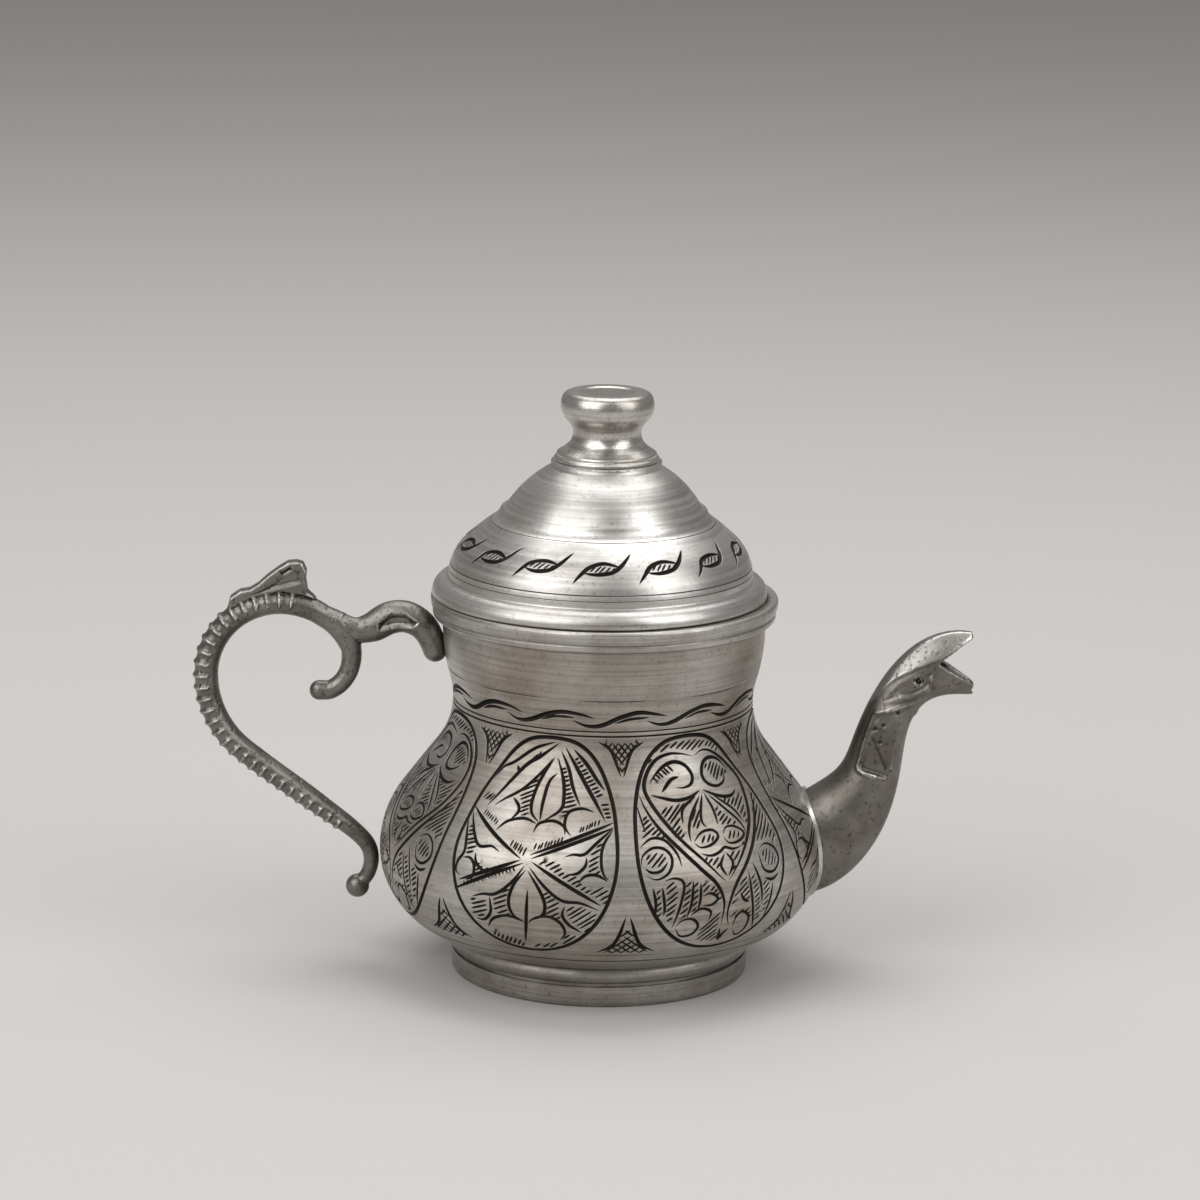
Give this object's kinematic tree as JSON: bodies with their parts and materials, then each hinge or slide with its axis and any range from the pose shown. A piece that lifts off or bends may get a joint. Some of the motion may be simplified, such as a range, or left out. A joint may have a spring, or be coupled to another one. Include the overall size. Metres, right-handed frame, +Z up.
{
  "type": "coffee pot",
  "caption": "Small bellied coffee pot of tinned copper with a loose domed lid, a cast serpent-head spout and a cast scroll handle, on a stepped foot ring.",
  "frame": {"origin": "centre of the foot ring's underside, on the pot's axis", "axes": "+Z up along the pot's axis, +X towards the spout, -X towards the handle"},
  "size_m": [0.165, 0.0936, 0.1242],
  "materials": {
    "tinned_pot": "tinned copper, satin, engraved, warm patina",
    "tinned_rim": "tinned copper, worn bright on the edge",
    "tinned_foot": "tinned copper, satin, turned",
    "cast_spout": "cast, dark patina, smooth with pits",
    "solder": "bright tin solder",
    "cast_handle": "cast, dark and pitted, bright on the ribs",
    "tinned_lid": "tinned copper, polished, engraved band",
    "tinned_collar": "tinned copper, dull",
    "turned_knob": "turned and tinned, polished, brown in the neck",
    "copper_washer": "copper, dull",
    "copper_rivet": "copper, hammered head"
  },
  "bodies": {
    "pot": {"pot_body": "tinned_pot", "rim_ring": "tinned_rim", "foot_ring": "tinned_foot", "spout": "cast_spout", "spout_solder": "solder", "handle": "cast_handle"},
    "lid": {"lid_dome": "tinned_lid", "lid_collar": "tinned_collar", "lid_knob": "turned_knob", "knob_washer": "copper_washer", "knob_rivet": "copper_rivet"}
  },
  "joints": [
    {"name": "lid_lift", "type": "slide", "parent": "pot", "child": "lid", "axis": [0, 0, 1], "range_m": [0, 0.08]}
  ]
}
